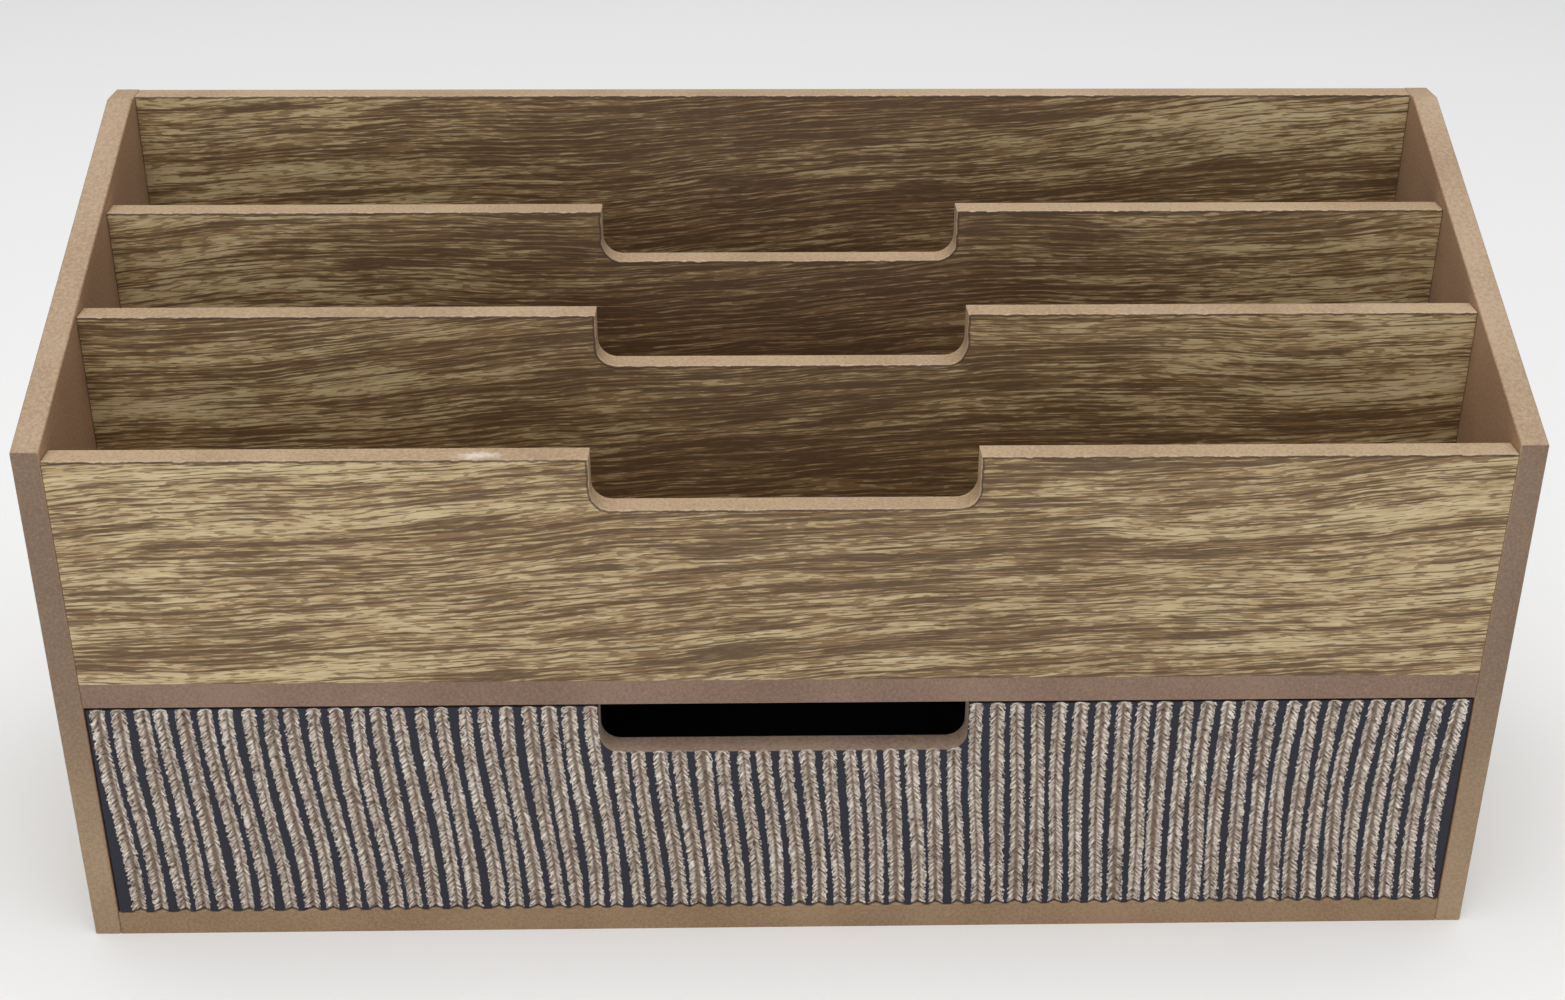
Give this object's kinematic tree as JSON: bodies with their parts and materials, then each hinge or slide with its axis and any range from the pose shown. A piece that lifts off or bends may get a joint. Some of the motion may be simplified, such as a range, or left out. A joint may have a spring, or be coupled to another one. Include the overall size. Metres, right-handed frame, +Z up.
{
  "type": "desk envelope sorter with drawer",
  "caption": "Wide fibreboard letter sorter with sloped sides, upright slots with finger cut-outs, and a shallow carved drawer under the deck.",
  "frame": {"origin": "on the resting plane, under the middle of the case", "axes": "+Z up, the front and the drawer face -Y, +X to the right seen from the front"},
  "size_m": [0.32, 0.108, 0.17],
  "materials": {
    "side_board": "fibreboard, printed wood grain outside, bare inside and on the edges",
    "bare_board": "bare fibreboard with sawn edges",
    "print_board": "fibreboard with a matt printed wood grain face and bare edges",
    "carved_board": "black painted fibreboard, carved through to the bare board",
    "drawer_board": "fibreboard painted matt black",
    "brad_steel": "plain wire steel"
  },
  "bodies": {
    "case": {"left_side": "side_board", "right_side": "side_board", "base_panel": "bare_board", "deck_panel": "bare_board", "front_panel": "print_board", "front_divider": "print_board", "rear_divider": "print_board", "back_panel": "print_board", "base_brads": "brad_steel", "deck_brads": "brad_steel", "front_panel_brads": "brad_steel", "front_divider_brads": "brad_steel", "rear_divider_brads": "brad_steel", "back_panel_brads": "brad_steel"},
    "drawer": {"drawer_front": "carved_board", "drawer_left_side": "drawer_board", "drawer_right_side": "drawer_board", "drawer_back": "drawer_board", "drawer_bottom": "drawer_board", "drawer_back_brads": "brad_steel"}
  },
  "joints": [
    {"name": "drawer_slide", "type": "slide", "parent": "case", "child": "drawer", "axis": [0, -1, 0], "range_m": [0, 0.1]}
  ]
}
